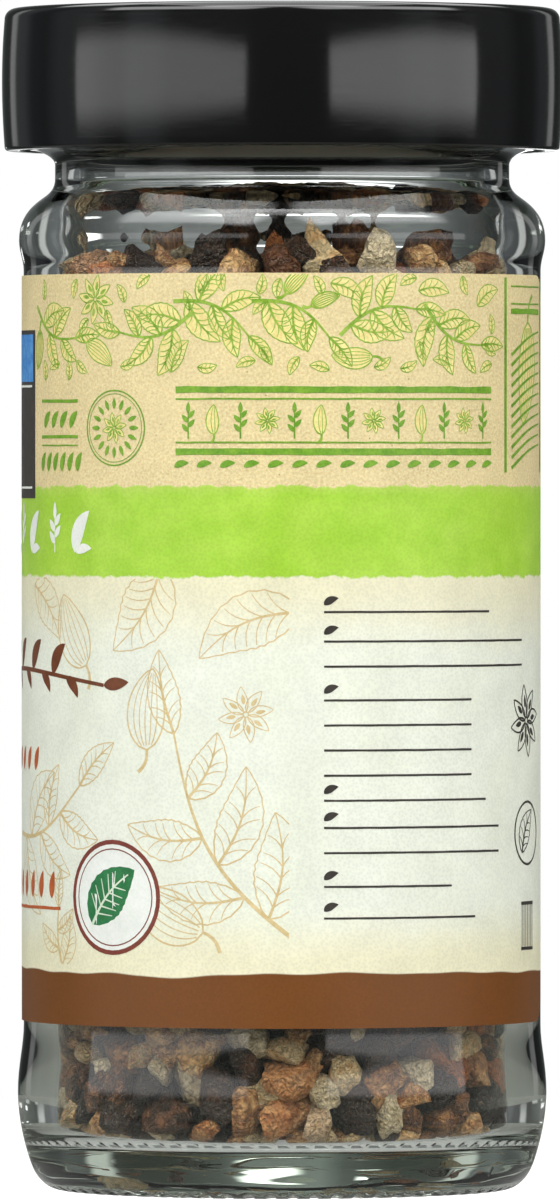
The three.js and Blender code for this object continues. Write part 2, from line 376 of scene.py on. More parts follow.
def makeCap():
    c = SimpleNamespace(**capShape)
    middle = (c.skirt + c.top) / 2
    sideTop, sideBottom = c.top - c.topRound, c.skirt + c.hem
    profile = [(0, c.top), (c.edge - c.topRound - 3, c.top)]
    profile += cornerPoints((c.edge - c.topRound, sideTop), c.topRound, 90, 0, 12)
    swell = (c.edge + 2 * (2 * c.crown - c.edge)) / 3
    bendTo(profile, (swell, (sideTop + 2 * middle) / 3), (swell, (sideBottom + 2 * middle) / 3),
           (c.edge, sideBottom), 24)
    profile += cornerPoints((c.edge - c.hem, sideBottom), c.hem, 0, -90, 5)[1:]
    wallBottom, wallRows = c.skirt + c.chamfer, c.wallRows
    profile += [(c.bore + c.chamfer, c.skirt)]
    profile += [(c.bore, wallBottom + (c.ceiling - wallBottom) * i / wallRows) for i in range(wallRows + 1)]
    profile += [(0, c.ceiling)]
    cap = spinProfile("screwCap", profile, c.steps)
    raiseThread(cap, capThread, -1)
    smoothUpTo(cap, 35)
    return cap


def capMaterial():
    material, tree = newMaterial("glossBlackPlastic")
    place = objectPlace(tree)
    along = addNode(tree, "Mapping", Vector=place, Scale=(30, 30, 900))
    smear = mapRange(tree, noiseAt(tree, along, 14.0, 4.0), 0.45, 0.75)
    rough = mathNode(tree, "ADD", times(tree, smear, 0.06), 0.08)
    height = mathNode(tree, "ADD", times(tree, noiseAt(tree, place, 60.0, 2.0), 0.6),
                      times(tree, noiseAt(tree, place, 2500.0, 3.0), 0.05))
    bumpySurface(tree, (0.006, 0.006, 0.006, 1), rough, height, 0.12, 0.00015, IOR=1.58)
    return material


def linerMaterial():
    material, tree = newMaterial("linerBoard")
    fibres = noiseAt(tree, objectPlace(tree), 900.0, 5.0)
    colour = mixColour(tree, fibres, srgb(232, 229, 218), srgb(214, 209, 194))
    bumpySurface(tree, colour, 0.85, fibres, 0.4, 0.0001)
    return material


screwCap = makeCap()
putOn(screwCap, capMaterial())
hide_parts("screw_cap")
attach(screwCap, "cap")
putOn(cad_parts["cap_liner"], linerMaterial())
print("cap:", len(screwCap.data.polygons), "faces")


# The wrapped paper label

labelShape = {  # in millimetres, with the right end and the sweep in degrees round the jar from its front
    "inner": 24.13, "thickness": 0.15, "bottom": 15.8, "top": 85.1, "rightEnd": 82.0, "sweep": 324.0,
    "corner": 2.5, "columns": 220, "rows": 24,
    "brownTop": 4.9, "greenBottom": 41.4, "greenTop": 49.7,  # the bands, up from the label's bottom edge
}
paper = SimpleNamespace(**labelShape)
labelOuter = paper.inner + paper.thickness
labelLength = math.radians(paper.sweep) * labelOuter
labelHeight = paper.top - paper.bottom


def wrapRound(piece, lift=0.0):
    # a flat piece drawn in X and Y, in label millimetres, is wrapped round the jar: X runs round it from the
    # left end, Y goes up from the label's bottom edge and Z becomes the distance out from the paper
    startAngle = math.radians(paper.rightEnd - paper.sweep)
    for vertex in piece.data.vertices:
        angle = startAngle + vertex.co.x / mm / labelOuter
        radius = (labelOuter + lift) * mm + vertex.co.z
        height = paper.bottom * mm + vertex.co.y
        vertex.co = (radius * math.sin(angle), -radius * math.cos(angle), height)


def makeLabel():
    deselectAll()
    bpy.ops.mesh.primitive_plane_add(size=1, location=(labelLength * mm / 2, labelHeight * mm / 2, 0))
    label = bpy.context.object
    label.name = "paperLabel"
    label.scale = (labelLength * mm, labelHeight * mm, 1)
    applyPlace(label)
    startEditing(label)
    bpy.ops.mesh.select_all(action="SELECT")
    bpy.ops.mesh.bevel(offset=paper.corner * mm, segments=8, affect="VERTICES")
    for i in range(1, paper.columns):
        bisectAll((labelLength * i / paper.columns, 0), (1, 0))
    for i in range(1, paper.rows):
        bisectAll((0, labelHeight * i / paper.rows), (0, 1))
    stopEditing()
    printMap = label.data.uv_layers.new(name="printMap")
    for loop in label.data.loops:
        place = label.data.vertices[loop.vertex_index].co
        printMap.data[loop.index].uv = (place.x / mm / 100, place.y / mm / 100)
    sheet = label.modifiers.new("paper", "SOLIDIFY")
    sheet.thickness = paper.thickness * mm
    sheet.offset = -1
    makeActive(label)
    bpy.ops.object.modifier_apply(modifier="paper")
    wrapRound(label)
    startEditing(label)
    faceOutward()
    smoothUpTo(label, 40)
    return label


def printGrainGroup():
    # fine print dots and paper mottle, for every ink on the label
    group = bpy.data.node_groups.new("printGrain", "ShaderNodeTree")
    for name, way, kind in (("Place", "INPUT", "Vector"), ("Colour", "INPUT", "Color"),
                            ("Dots", "INPUT", "Float"), ("Colour", "OUTPUT", "Color"),
                            ("Height", "OUTPUT", "Float")):
        group.interface.new_socket(name=name, in_out=way, socket_type="NodeSocket" + kind)
    start = group.nodes.new("NodeGroupInput").outputs
    end = group.nodes.new("NodeGroupOutput").inputs
    dots = addNode(group, "TexVoronoi", Vector=start["Place"], Scale=3600.0).outputs["Distance"]
    mottle = noiseAt(group, start["Place"], 260.0, 6.0)
    shade = mathNode(group, "ADD", times(group, mapRange(group, dots, 0.2, 0.7, -0.5, 0.5), start["Dots"]),
                     times(group, mapRange(group, mottle, 0.3, 0.7, -0.5, 0.5), 0.1))
    bright = addNode(group, "HueSaturation", Color=start["Colour"],
                     Value=mathNode(group, "ADD", shade, 1.0))
    group.links.new(bright.outputs[0], end["Colour"])
    group.links.new(mottle, end["Height"])
    return group


printGrain = printGrainGroup()


def printedSurface(tree, colour, dots):
    grain = addNode(tree, "Group", {"node_tree": printGrain}, Place=objectPlace(tree), Colour=colour,
                    Dots=dots)
    bumpySurface(tree, grain.outputs["Colour"], 0.42, grain.outputs["Height"], 0.15, 0.0001, IOR=1.45)


def labelPrintMaterial():
    material, tree = newMaterial("labelPrint")
    uv = addNode(tree, "UVMap", {"uv_map": "printMap"}).outputs[0]
    up = times(tree, splitVector(tree, uv)[1], 100.0)

    def unevenUp(scale, reach, detail):
        # the height on the label in millimetres, made uneven, for the edges of the bands
        return mathNode(tree, "ADD", up, times(tree, mathNode(
            tree, "SUBTRACT", noiseAt(tree, uv, scale, detail, 0.65), 0.5), reach))

    def shadesOf(factor, low, high, first, second, most=1.0):
        return mixColour(tree, mapRange(tree, factor, low, high, 0.0, most), first, second)

    tornUp, wavyUp, softUp = unevenUp(60.0, 1.6, 9.0), unevenUp(9.0, 1.6, 1.0), unevenUp(12.0, 3.0, 3.0)
    creamTone = mixColour(tree, noiseAt(tree, uv, 14.0, 5.0), srgb(241, 244, 233), srgb(236, 240, 219))
    lowHalo = mapRange(tree, softUp, paper.brownTop + 1, paper.brownTop + 7, 1.0, 0.0, True)
    highHalo = mapRange(tree, softUp, paper.greenBottom - 8, paper.greenBottom - 0.5, 0.0, 1.0, True)
    halo = mathNode(tree, "MAXIMUM", lowHalo, highHalo)
    cream = mixColour(tree, times(tree, halo, 0.46), creamTone, srgb(240, 226, 168))
    fibre = noiseAt(tree, uv, 380.0, 8.0, 0.75)
    kraft = shadesOf(fibre, 0.36, 0.64, srgb(216, 190, 130), srgb(246, 233, 184))
    kraft = shadesOf(noiseAt(tree, uv, 16.0, 4.0), 0.35, 0.65, kraft, srgb(240, 221, 170), 0.35)
    chips = addNode(tree, "TexVoronoi", Vector=uv, Scale=125.0).outputs["Distance"]
    chip = times(tree, mapRange(tree, chips, 0.13, 0.06),
                 mapRange(tree, noiseAt(tree, uv, 90.0, 2.0), 0.5, 0.62, 0.0, 0.6))
    kraft = mixColour(tree, chip, kraft, srgb(126, 84, 50))
    green = shadesOf(noiseAt(tree, uv, 30.0, 6.0), 0.35, 0.65, srgb(164, 212, 60), srgb(180, 222, 78))
    brown = mixColour(tree, fibre, srgb(104, 59, 18), srgb(127, 76, 28))
    colour = shadesOf(wavyUp, paper.brownTop + 0.06, paper.brownTop - 0.06, cream, brown)
    colour = shadesOf(tornUp, paper.greenBottom - 0.1, paper.greenBottom + 0.1, colour, green)
    colour = shadesOf(tornUp, paper.greenTop - 0.9, paper.greenTop - 0.1, colour, srgb(204, 217, 120), 0.3)
    colour = shadesOf(tornUp, paper.greenTop - 0.05, paper.greenTop + 0.1, colour, kraft)
    printedSurface(tree, colour, 0.1)
    return material


paperLabel = makeLabel()
putOn(paperLabel, labelPrintMaterial())
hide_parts("label")
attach(paperLabel, "jar")
print("label:", len(paperLabel.data.polygons), "faces")


# The printing on the label: generic leaves, pods, stars and rules, drawn flat with a nib, then wrapped round

labelArt = {  # all in label millimetres
    "washLift": 0.01, "discLift": 0.014, "inkLift": 0.018, "leafLift": 0.02, "topLift": 0.026,
    "veinLift": 0.028, "stepLength": 0.8, "columnWidth": 1.2, "kraftLine": 0.15, "creamLine": 0.17,
    "creamRightEdge": 103.2, "creamBottom": 5.6, "creamTop": 41.2,
    "gardenBottom": 59.4, "gardenTop": 69.6, "plate": (47.0, 72.7, 48.6, 64.2), "seed": 12,
}
art = SimpleNamespace(**labelArt)
inkTones = {  # two tones as 0 to 255 that lie in patches, and how strongly the print dots show
    "paleWash": ((246, 234, 158), (238, 218, 144), 0.12), "greenInk": ((126, 170, 46), (166, 196, 80), 0.2),
    "deepGreenInk": ((104, 156, 42), (132, 176, 56), 0.2), "tanInk": ((214, 190, 134), (226, 206, 156), 0.1),
    "darkInk": ((50, 46, 42), (64, 58, 52), 0.06), "brownInk": ((104, 56, 30), (122, 68, 38), 0.1),
    "rustInk": ((184, 88, 38), (198, 104, 52), 0.1), "blueInk": ((52, 128, 206), (92, 164, 226), 0.12),
    "whiteInk": ((238, 244, 232), (246, 248, 240), 0.06), "roundelGreen": ((30, 112, 60), (46, 128, 74), 0.1),
    "roundelWhite": ((240, 244, 236), (246, 248, 242), 0.05),
    "roundelBrown": ((118, 52, 40), (134, 64, 48), 0.1),
    "roundelPale": ((214, 232, 206), (226, 240, 218), 0.05),
}


def between(start, end, share):
    return (start[0] + (end[0] - start[0]) * share, start[1] + (end[1] - start[1]) * share)


def polar(start, degrees, length):
    turn = math.radians(degrees)
    return (start[0] + length * math.cos(turn), start[1] + length * math.sin(turn))


def arcPoints(start, end, bow, steps):
    # points from start to end, bowed sideways by a share of the length
    run, rise = end[0] - start[0], end[1] - start[1]
    points = []
    for i in range(steps + 1):
        t = i / steps
        side = bow * math.sin(math.pi * t)
        points.append((start[0] + run * t - rise * side, start[1] + rise * t + run * side))
    return points


def headingOf(start, end):
    return math.degrees(math.atan2(end[1] - start[1], end[0] - start[0]))


def drawStroke(strokes, points, startWidth, endWidth=None):
    # a line of ink whose width runs evenly from its start to its end
    endWidth = startWidth if endWidth is None else endWidth
    walked = [points[0]]
    for here, there in zip(points, points[1:]):
        pieces = max(1, math.ceil(math.dist(here, there) / art.stepLength))
        walked += [between(here, there, i / pieces) for i in range(1, pieces + 1)]
    last = len(walked) - 1
    strokes.append((walked, [startWidth + (endWidth - startWidth) * i / last for i in range(last + 1)]))


def drawBlade(strokes, spine, width, fullness, teeth=0.0):
    # a filled leaf or pod along a spine, unless strokes is None; gives back its two sides
    halves, left, right = [], [], []
    last = len(spine) - 1
    for i, point in enumerate(spine):
        before, after = spine[max(0, i - 1)], spine[min(last, i + 1)]
        run, rise = after[0] - before[0], after[1] - before[1]
        size = math.hypot(run, rise)
        half = width / 2 * max(0.0, math.sin(math.pi * (i / last) ** 0.82)) ** fullness
        half *= 1 + teeth * (i % 2)
        halves.append(half)
        left.append((point[0] - rise / size * half, point[1] + run / size * half))
        right.append((point[0] + rise / size * half, point[1] - run / size * half))
    if strokes is not None:
        strokes.append((spine, [2 * half for half in halves]))
    return left, right


def drawSolidLeaf(ink, base, degrees, length, width, bow=0.0):
    drawBlade(ink, arcPoints(base, polar(base, degrees, length), bow, 12), width, 0.8)


def drawLeafRow(ink, count, start, step, degrees, length, width, bow):
    for k in range(count):
        drawSolidLeaf(ink, (start[0] + step * k, start[1]), degrees, length, width, bow)


def drawLeaf(ink, wash, base, degrees, length, width, bow, line, veins=5):
    spine = arcPoints(base, polar(base, degrees, length), bow, 18)
    sides = drawBlade(wash, spine, width, 0.85, 0.06)
    for side in sides:
        drawStroke(ink, side, line * 0.9, line * 0.6)
    drawStroke(ink, spine, line * 1.7, line * 0.5)
    for k in range(veins):
        start = 2 + k * 13 // veins
        for side, bowing in zip(sides, (-0.1, 0.1)):
            end = between(spine[start], side[min(17, start + 3)], 0.88)
            drawStroke(ink, arcPoints(spine[start], end, bowing, 4), line * 0.8, line * 0.4)


def drawPod(ink, wash, base, degrees, length, width, line, ribs=(-0.62, -0.3, 0.02, 0.33, 0.64)):
    # a plump ribbed pod on a short stalk
    spine = arcPoints(base, polar(base, degrees, length), 0.06, 18)
    sides = drawBlade(wash, spine, width, 0.7)
    for side in sides:
        drawStroke(ink, side, line, line * 0.8)
    for share in ribs:
        rib = [between(middle, side, share) for middle, side in zip(spine, sides[0])]
        drawStroke(ink, rib[1:-1], line * 0.7, line * 0.4)
    stalk = arcPoints(base, polar(base, degrees + 160, length * 0.3), 0.15, 5)
    drawStroke(ink, stalk, line * 1.6, line * 2.2)


def drawSprig(ink, wash, start, degrees, length, bow, leafSize, leaves, line, rng, podShare=0.0):
    # a bowed stem with leaves to both sides in turn, and one at its tip
    stem = arcPoints(start, polar(start, degrees, length), bow, 24)
    drawStroke(ink, stem, line * 2.6, line * 1.1)
    for k in range(leaves):
        i = 4 + k * 18 // leaves
        heading = headingOf(stem[i], stem[i + 1])
        side = 1 if k % 2 else -1
        size = leafSize * (1 - 0.35 * k / leaves) * rng.uniform(0.88, 1.1)
        if rng.random() < podShare:
            base = polar(stem[i], heading + side * 60, size * 0.25)
            drawPod(ink, wash, base, heading + side * 55, size * 0.8, size * 0.36, line)
        else:
            heading += side * rng.uniform(38, 60)
            drawLeaf(ink, wash, stem[i], heading, size, size * rng.uniform(0.4, 0.52), side * 0.1, line)
    drawLeaf(ink, wash, stem[-1], headingOf(stem[-2], stem[-1]), leafSize * 0.75, leafSize * 0.3, 0.05, line)


def drawStar(ink, wash, centre, radius, line, turn=10):
    # a dried star of eight boat-shaped husks, each holding one seed
    for k in range(8):
        degrees = turn + 45 * k
        spine = arcPoints(polar(centre, degrees, radius * 0.08), polar(centre, degrees, radius), 0.04, 12)
        for side in drawBlade(wash, spine, radius * 0.38, 0.8):
            drawStroke(ink, side, line, line * 0.7)
        drawSolidLeaf(ink, polar(centre, degrees, radius * 0.36), degrees, radius * 0.36, radius * 0.15)


def drawRing(ink, centre, radius, width):
    drawStroke(ink, [polar(centre, 9 * k, radius) for k in range(41)], width)


def drawDisc(ink, centre, radius):
    # a disc as one broad stroke from its left to its right
    spine = [(centre[0] - radius * math.cos(math.pi * i / 24), centre[1]) for i in range(25)]
    ink.append((spine, [2 * radius * max(0.002, math.sin(math.pi * i / 24)) for i in range(25)]))


def drawRule(ink, left, right, height, width, rng, wobble=0.025):
    # a ruled line, a little uneven as old type is
    steps = max(2, round((right - left) / 1.1))
    points = [(left + (right - left) * i / steps, height + rng.uniform(-wobble, wobble))
              for i in range(steps + 1)]
    ink.append((points, [width * rng.uniform(0.92, 1.08) for _ in points]))


def drawUpright(ink, start, height, size, leaves):
    # a small solid sprig that stands straight up
    drawStroke(ink, [start, polar(start, 90, height)], 0.16, 0.1)
    for k in range(leaves):
        base = polar(start, 90, height * (0.25 + 0.65 * k / leaves))
        drawSolidLeaf(ink, base, 48 if k % 2 else 132, size, size * 0.45)
    drawSolidLeaf(ink, polar(start, 90, height * 0.9), 90, size * 1.1, size * 0.42)


def inkMaterial(name):
    first, second, dots = inkTones[name]
    material, tree = newMaterial(name)
    patchy = mapRange(tree, noiseAt(tree, objectPlace(tree), 900.0, 5.0, 0.7), 0.38, 0.62)
    printedSurface(tree, mixColour(tree, patchy, srgb(*first), srgb(*second)), dots)
    return material


def newCurve(name):
    curve = bpy.data.curves.new(name, "CURVE")
    return curve, addObject(name, curve)


def drawSpline(curve, points, widths):
    spline = curve.splines.new("POLY")
    spline.points.add(len(points) - 1)
    for target, point, width in zip(spline.points, points, widths):
        target.co = (point[0] * mm, point[1] * mm, 0, 1)
        target.radius = max(width, 0.01)


def printPiece(name, strokes, lift, inkName, cut=True, keep=None):
    # the nib is a short straight line, so every stroke becomes a flat ribbon as wide as its points' radius
    nib, nibObject = newCurve("nib")
    drawSpline(nib, [(-0.5, 0), (0.5, 0)], [1, 1])
    drawing, piece = newCurve(name)
    drawing.dimensions = "3D"
    drawing.twist_mode = "Z_UP"
    drawing.bevel_mode = "OBJECT"
    drawing.bevel_object = nibObject
    for points, widths in strokes:
        drawSpline(drawing, points, widths)
    makeActive(piece)
    bpy.ops.object.convert(target="MESH")
    piece = bpy.context.object
    bpy.data.objects.remove(nibObject)
    startEditing(piece)
    if keep:
        left, right, bottom, top = keep
        for place, normal in (((left, 0), (-1, 0)), ((right, 0), (1, 0)), ((0, bottom), (0, -1)),
                              ((0, top), (0, 1))):
            bisectAll(place, normal, True)
    if cut:
        low = keep[0] if keep else min(vertex.co.x for vertex in piece.data.vertices) / mm
        first = max(0, math.ceil(low / art.columnWidth))
        for i in range(first, int(labelLength / art.columnWidth)):
            bisectAll((i * art.columnWidth, 0), (1, 0))
    stopEditing()
    wrapRound(piece, lift)
    putOn(piece, bpy.data.materials.get(inkName) or inkMaterial(inkName))
    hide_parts("label")
    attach(piece, "jar")


def fillGarden(ink, wash, left, right, rng):
    # sprigs, stars, pods and loose leaves thrown at the kraft band, the large ones first, none on another
    line = art.kraftLine
    taken = []
    for kind, reach, tries in (("sprig", 4.4, 90), ("star", 2.3, 12), ("spray", 3.1, 160), ("pod", 2.3, 60),
                               ("leaf", 1.9, 500), ("small", 1.1, 1500)):
        inner = min(reach, (art.gardenTop - art.gardenBottom) / 2 - 0.3)
        for _ in range(tries):
            centre = (rng.uniform(left + inner, right - inner),
                      rng.uniform(art.gardenBottom + inner, art.gardenTop - inner))
            if any(math.dist(centre, other) < reach + room for other, room in taken):
                continue
            taken.append((centre, reach * 0.62))
            degrees = rng.uniform(0, 360)
            start = polar(centre, degrees + 180, reach * 0.9)
            if kind == "sprig":
                degrees = rng.choice((20, -24, 158, 200)) + rng.uniform(-8, 8)
                start = polar(centre, degrees + 180, reach * 1.15)
                bow = rng.choice((-0.16, 0.16))
                drawSprig(ink, wash, start, degrees, reach * 1.8, bow, 4.5, 5, line, rng, 0.15)
            elif kind == "spray":
                drawSprig(ink, wash, start, degrees, reach * 1.1, 0.14, 3.1, 3, line * 0.9, rng, 0.2)
            elif kind == "star":
                drawStar(ink, wash, centre, reach, line * 0.8, degrees)
            elif kind == "pod":
                drawPod(ink, wash, start, degrees, reach * 1.7, reach * 0.85, line * 0.8)
            elif kind == "leaf":
                drawLeaf(ink, wash, start, degrees, reach * 1.8, reach * 0.85, 0.12, line * 0.8, 4)
            else:
                drawLeaf(ink, wash, start, degrees, reach * 1.7, reach * 0.8, -0.1, line * 0.7, 3)


def printKraftBand():
    rng = random.Random(art.seed)
    lines, washes, solids = [], [], []
    line = art.kraftLine
    fillGarden(lines, washes, 1.5, art.plate[0] - 0.8, rng)
    fillGarden(lines, washes, art.plate[1] + 0.8, 126.4, rng)
    for left, right in ((92.5, 124.8), (8.0, 38.0)):  # two ruled panels, each with a row of small uprights
        for height, width in ((58.6, 0.6), (52.9, 0.6), (57.75, 0.16), (53.75, 0.16)):
            drawRule(solids, left, right, height, width, rng)
        count = int((right - left) / 2.35)
        for k in range(count):
            middle = left + (right - left) * (k + 0.5) / count
            if k % 4 == 1:
                drawPod(lines, washes, (middle, 54.5), 90, 2.7, 1.2, line * 0.8, (-0.4, 0.2))
            elif k % 4 == 3:
                drawStar(lines, washes, (middle, 55.75), 1.2, line * 0.6)
            else:
                drawUpright(solids, (middle, 54.1), 2.6, 0.95, 4)
        step = (right - left - 1.2) / (count + 1)
        drawLeafRow(solids, count + 2, (left - 0.15, 51.5), step, 14, 1.5, 0.62, 0.1)
    for centre in ((85.8, 55.1), (43.0, 53.6)):  # a rosette of leaves in two rings
        drawRing(solids, centre, 3.45, 0.14)
        drawRing(solids, centre, 3.15, 0.07)
        for k in range(16):
            drawSolidLeaf(solids, polar(centre, 22.5 * k, 1.75), 22.5 * k, 1.05, 0.42)
        drawStar(lines, washes, centre, 1.45, line * 0.7)
    for height in (57.6, 54.3):  # short rules with leaves between, left of the rosette
        drawRule(solids, 74.5, 81.0, height, 0.3, rng)
    drawLeafRow(solids, 4, (75.2, 55.1), 1.55, 55, 1.9, 0.8, 0.1)
    drawLeafRow(solids, 6, (74.7, 51.1), 1.25, 70, 1.9, 0.75, 0.12)
    drawRule(solids, 74.5, 81.0, 53.5, 0.14, rng)
    for here in (127.2, 136.6):
        solids.append(([(here, 51.0 + 18.0 * i / 16) for i in range(17)], [0.42] * 17))
    for height, width in ((68.2, 0.14), (66.6, 0.14), (65.9, 0.5)):
        drawRule(solids, 128.2, 135.8, height, width, rng)
    for k in range(12):  # a hatched field with a pod hung in front of it
        drawStroke(solids, arcPoints((128.3, 51.4 + 0.95 * k), (135.7, 53.6 + 0.95 * k), 0.06, 6), 0.34, 0.14)
    drawPod(lines, washes, (132, 64.9), 262, 9.5, 4.2, line * 1.2)
    kraftArea = (0.6, labelLength - 0.6, 50.2, labelHeight - 0.15)
    printPiece("kraftWash", washes, art.washLift, "paleWash", keep=kraftArea)
    printPiece("kraftLines", lines, art.inkLift, "greenInk", cut=False, keep=kraftArea)
    printPiece("kraftSolids", solids, art.topLift, "deepGreenInk")


def printCreamLeaves():
    # large leaves and pods in fine tan line, cut off where the plain panel starts
    rng = random.Random(art.seed + 1)
    line = art.creamLine
    drawings = {
        "creamLeaves": (50.0, art.creamRightEdge, (
            (drawSprig, (104.5, 7.5), 122, 23.0, 0.12, 10.5, 5, line, rng),
            (drawSprig, (67.0, 17.5), 18, 15.0, -0.14, 8.0, 5, line, rng, 0.25),
            (drawLeaf, (91.0, 42.5), 236, 9.5, 5.4, 0.1, line, 6),
            (drawLeaf, (104.4, 38.2), 204, 10.5, 5.0, -0.12, line, 6),
            (drawPod, (82.2, 33.2), 118, 7.4, 4.4, line),
            (drawPod, (95.2, 8.8), 150, 8.2, 4.8, line),
            (drawPod, (89.5, 25.5), 85, 7.5, 4.0, line),
            (drawStar, (99.2, 28.8), 2.6, line * 0.7),
            (drawSprig, (79.0, 4.5), 100, 6.5, 0.1, 4.6, 3, line * 0.9, rng),
            (drawLeaf, (72.6, 40.6), 318, 7.4, 3.8, 0.1, line, 5),
        )),
        "creamLeavesBack": (6.0, 48.0, (
            (drawSprig, (8.0, 8.0), 58, 22.0, -0.12, 10.0, 5, line, rng),
            (drawSprig, (42.0, 7.0), 104, 20.0, 0.14, 9.5, 5, line, rng, 0.2),
            (drawPod, (27.0, 12.0), 70, 8.0, 4.6, line),
            (drawStar, (31.0, 33.0), 3.0, line * 0.7),
            (drawLeaf, (14.0, 39.5), 250, 9.0, 4.8, 0.1, line, 6),
        )),
    }
    for name, (left, right, shapes) in drawings.items():
        lines = []
        for draw, *shape in shapes:
            draw(lines, None, *shape)
        printPiece(name, lines, art.washLift, "tanInk", False, (left, right, art.creamBottom, art.creamTop))


def printPanels():
    rng = random.Random(art.seed + 2)
    dark, white, brown, rust, header = [], [], [], [], []
    for right, *rows in ((124.5, 38.7), (130.5, 36.0, 33.7), (122.0, 30.6, 28.3, 26.0, 23.7), (124.0, 21.4),
                         (126.0, 18.9, 16.6), (119.5, 13.5), (122.5, 10.6)):
        for height in rows:
            drawRule(dark, 106.4, right, height - 0.5, 0.2, rng, 0.01)
        drawSolidLeaf(dark, (106.4, rows[0] + 0.15), 25, 1.5, 0.7, 0.1)
    drawStar(dark, None, (131.6, 28.0), 3.4, 0.2)
    drawRing(dark, (131.9, 17.6), 2.9, 0.22)
    drawLeaf(dark, None, (130.6, 15.8), 58, 4.6, 2.4, 0.1, 0.18, 4)
    for k in range(7):
        dark.append(([(130.6 + 0.45 * k, height) for height in (7.0, 9.0, 11.0)], [0.14] * 3))
    for height in (6.9, 11.1):
        drawRule(dark, 130.4, 133.5, height, 0.3, rng, 0.01)
    left, right, bottom, top = art.plate
    drawStroke(dark, [(left, (bottom + top) / 2), (right, (bottom + top) / 2)], top - bottom)
    for k in range(8):  # a white row on the green band
        middle = 50.5 + 4.45 * k
        if k % 2:
            drawSolidLeaf(white, (middle - 1.1, 43.6), 62, 4.4, 1.7, 0.12)
            drawSolidLeaf(white, (middle - 0.9, 43.6), 10, 2.2, 0.9, 0.1)
        else:
            drawUpright(white, (middle, 43.6), 3.4, 1.5, 4)
    stem = arcPoints((49.0, 30.6), (84.5, 31.4), 0.05, 60)
    drawStroke(brown, stem, 0.5, 0.35)
    for k in range(13):
        degrees, length, width = (52, 3.6, 1.5) if k % 2 else (-46, 2.6, 1.1)
        drawSolidLeaf(brown, stem[3 + k * 4], degrees, length, width, 0.12)
    drawSolidLeaf(brown, stem[-1], 6, 3.0, 1.2)
    drawLeafRow(rust, 7, (59.6, 23.4), 2.2, 68, 2.4, 1.0, 0.08)
    drawLeafRow(rust, 8, (60.5, 11.6), 2.3, 80, 2.6, 1.05, 0.08)
    drawRule(rust, 59.5, 78.2, 10.7, 0.3, rng)
    drawStroke(header, [(left + 0.8, top - 2.6), (right - 0.6, top - 2.6)], 4.4)
    for height in (bottom + 1.0, top - 5.2):
        drawRule(white, left + 0.9, right - 0.9, height, 0.2, rng, 0.01)
    drawStar(white, None, ((left + right) / 2, bottom + 5.7), 3.6, 0.22)
    printPiece("darkPrint", dark, art.inkLift, "darkInk")
    printPiece("brownPrint", brown, art.inkLift, "brownInk")
    printPiece("rustPrint", rust, art.inkLift, "rustInk")
    printPiece("plateHeader", header, art.topLift, "blueInk")
    printPiece("whitePrint", white, art.topLift, "whiteInk")


def printRoundel():
    # a plain roundel with one leaf, over the tan leaves
    centre = (85.6, 11.9)
    ring, disc, leaf, veins = [], [], [], []
    drawDisc(disc, centre, 5.2)
    drawRing(ring, centre, 5.1, 0.42)
    drawRing(ring, centre, 4.45, 0.12)
    spine = arcPoints(polar(centre, 225, 3.6), polar(centre, 45, 3.6), 0.08, 18)
    sides = drawBlade(leaf, spine, 4.3, 0.8, 0.05)
    drawStroke(veins, spine[:-2], 0.3, 0.14)
    for k in range(5):
        for side in sides:
            root = spine[3 + 2 * k]
            drawStroke(veins, [root, between(root, side[min(17, 6 + 2 * k)], 0.8)], 0.16, 0.08)
    printPiece("roundelDisc", disc, art.discLift, "roundelWhite")
    printPiece("roundelLeaf", leaf, art.leafLift, "roundelGreen")
    printPiece("roundelRing", ring, art.leafLift, "roundelBrown")
    printPiece("roundelVeins", veins, art.veinLift, "roundelPale")


printKraftBand()
printCreamLeaves()
printPanels()
printRoundel()
print("label printing done")


# The seeds: a few shapes modelled, copied and let down into the jar one by one

seedShape = {  # sizes and heights in millimetres
    "shapes": 9, "size": 2.75, "sizeSpread": 0.34, "wallClearance": 0.12, "depth": 6.4, "coreRadius": 14.2,
    "touch": 0.86, "snug": 0.92, "tries": 9, "top": 88.7, "heap": 1.7, "lowCeiling": 12.5, "dome": 0.6,
    "windowLow": 18.5, "windowHigh": 82.5, "windowMargin": 8,  # the margin in degrees past the label's ends
    "lowCount": 420, "wallCount": 2600, "heapCount": 900, "fineCuts": 3, "plainCuts": 1, "flatSides": 6,
    "floorGap": 0.1, "heapLight": 0.6, "coreRipple": 0.7, "coreSwell": 0.05, "seed": 29,
}
seeds = SimpleNamespace(**seedShape)


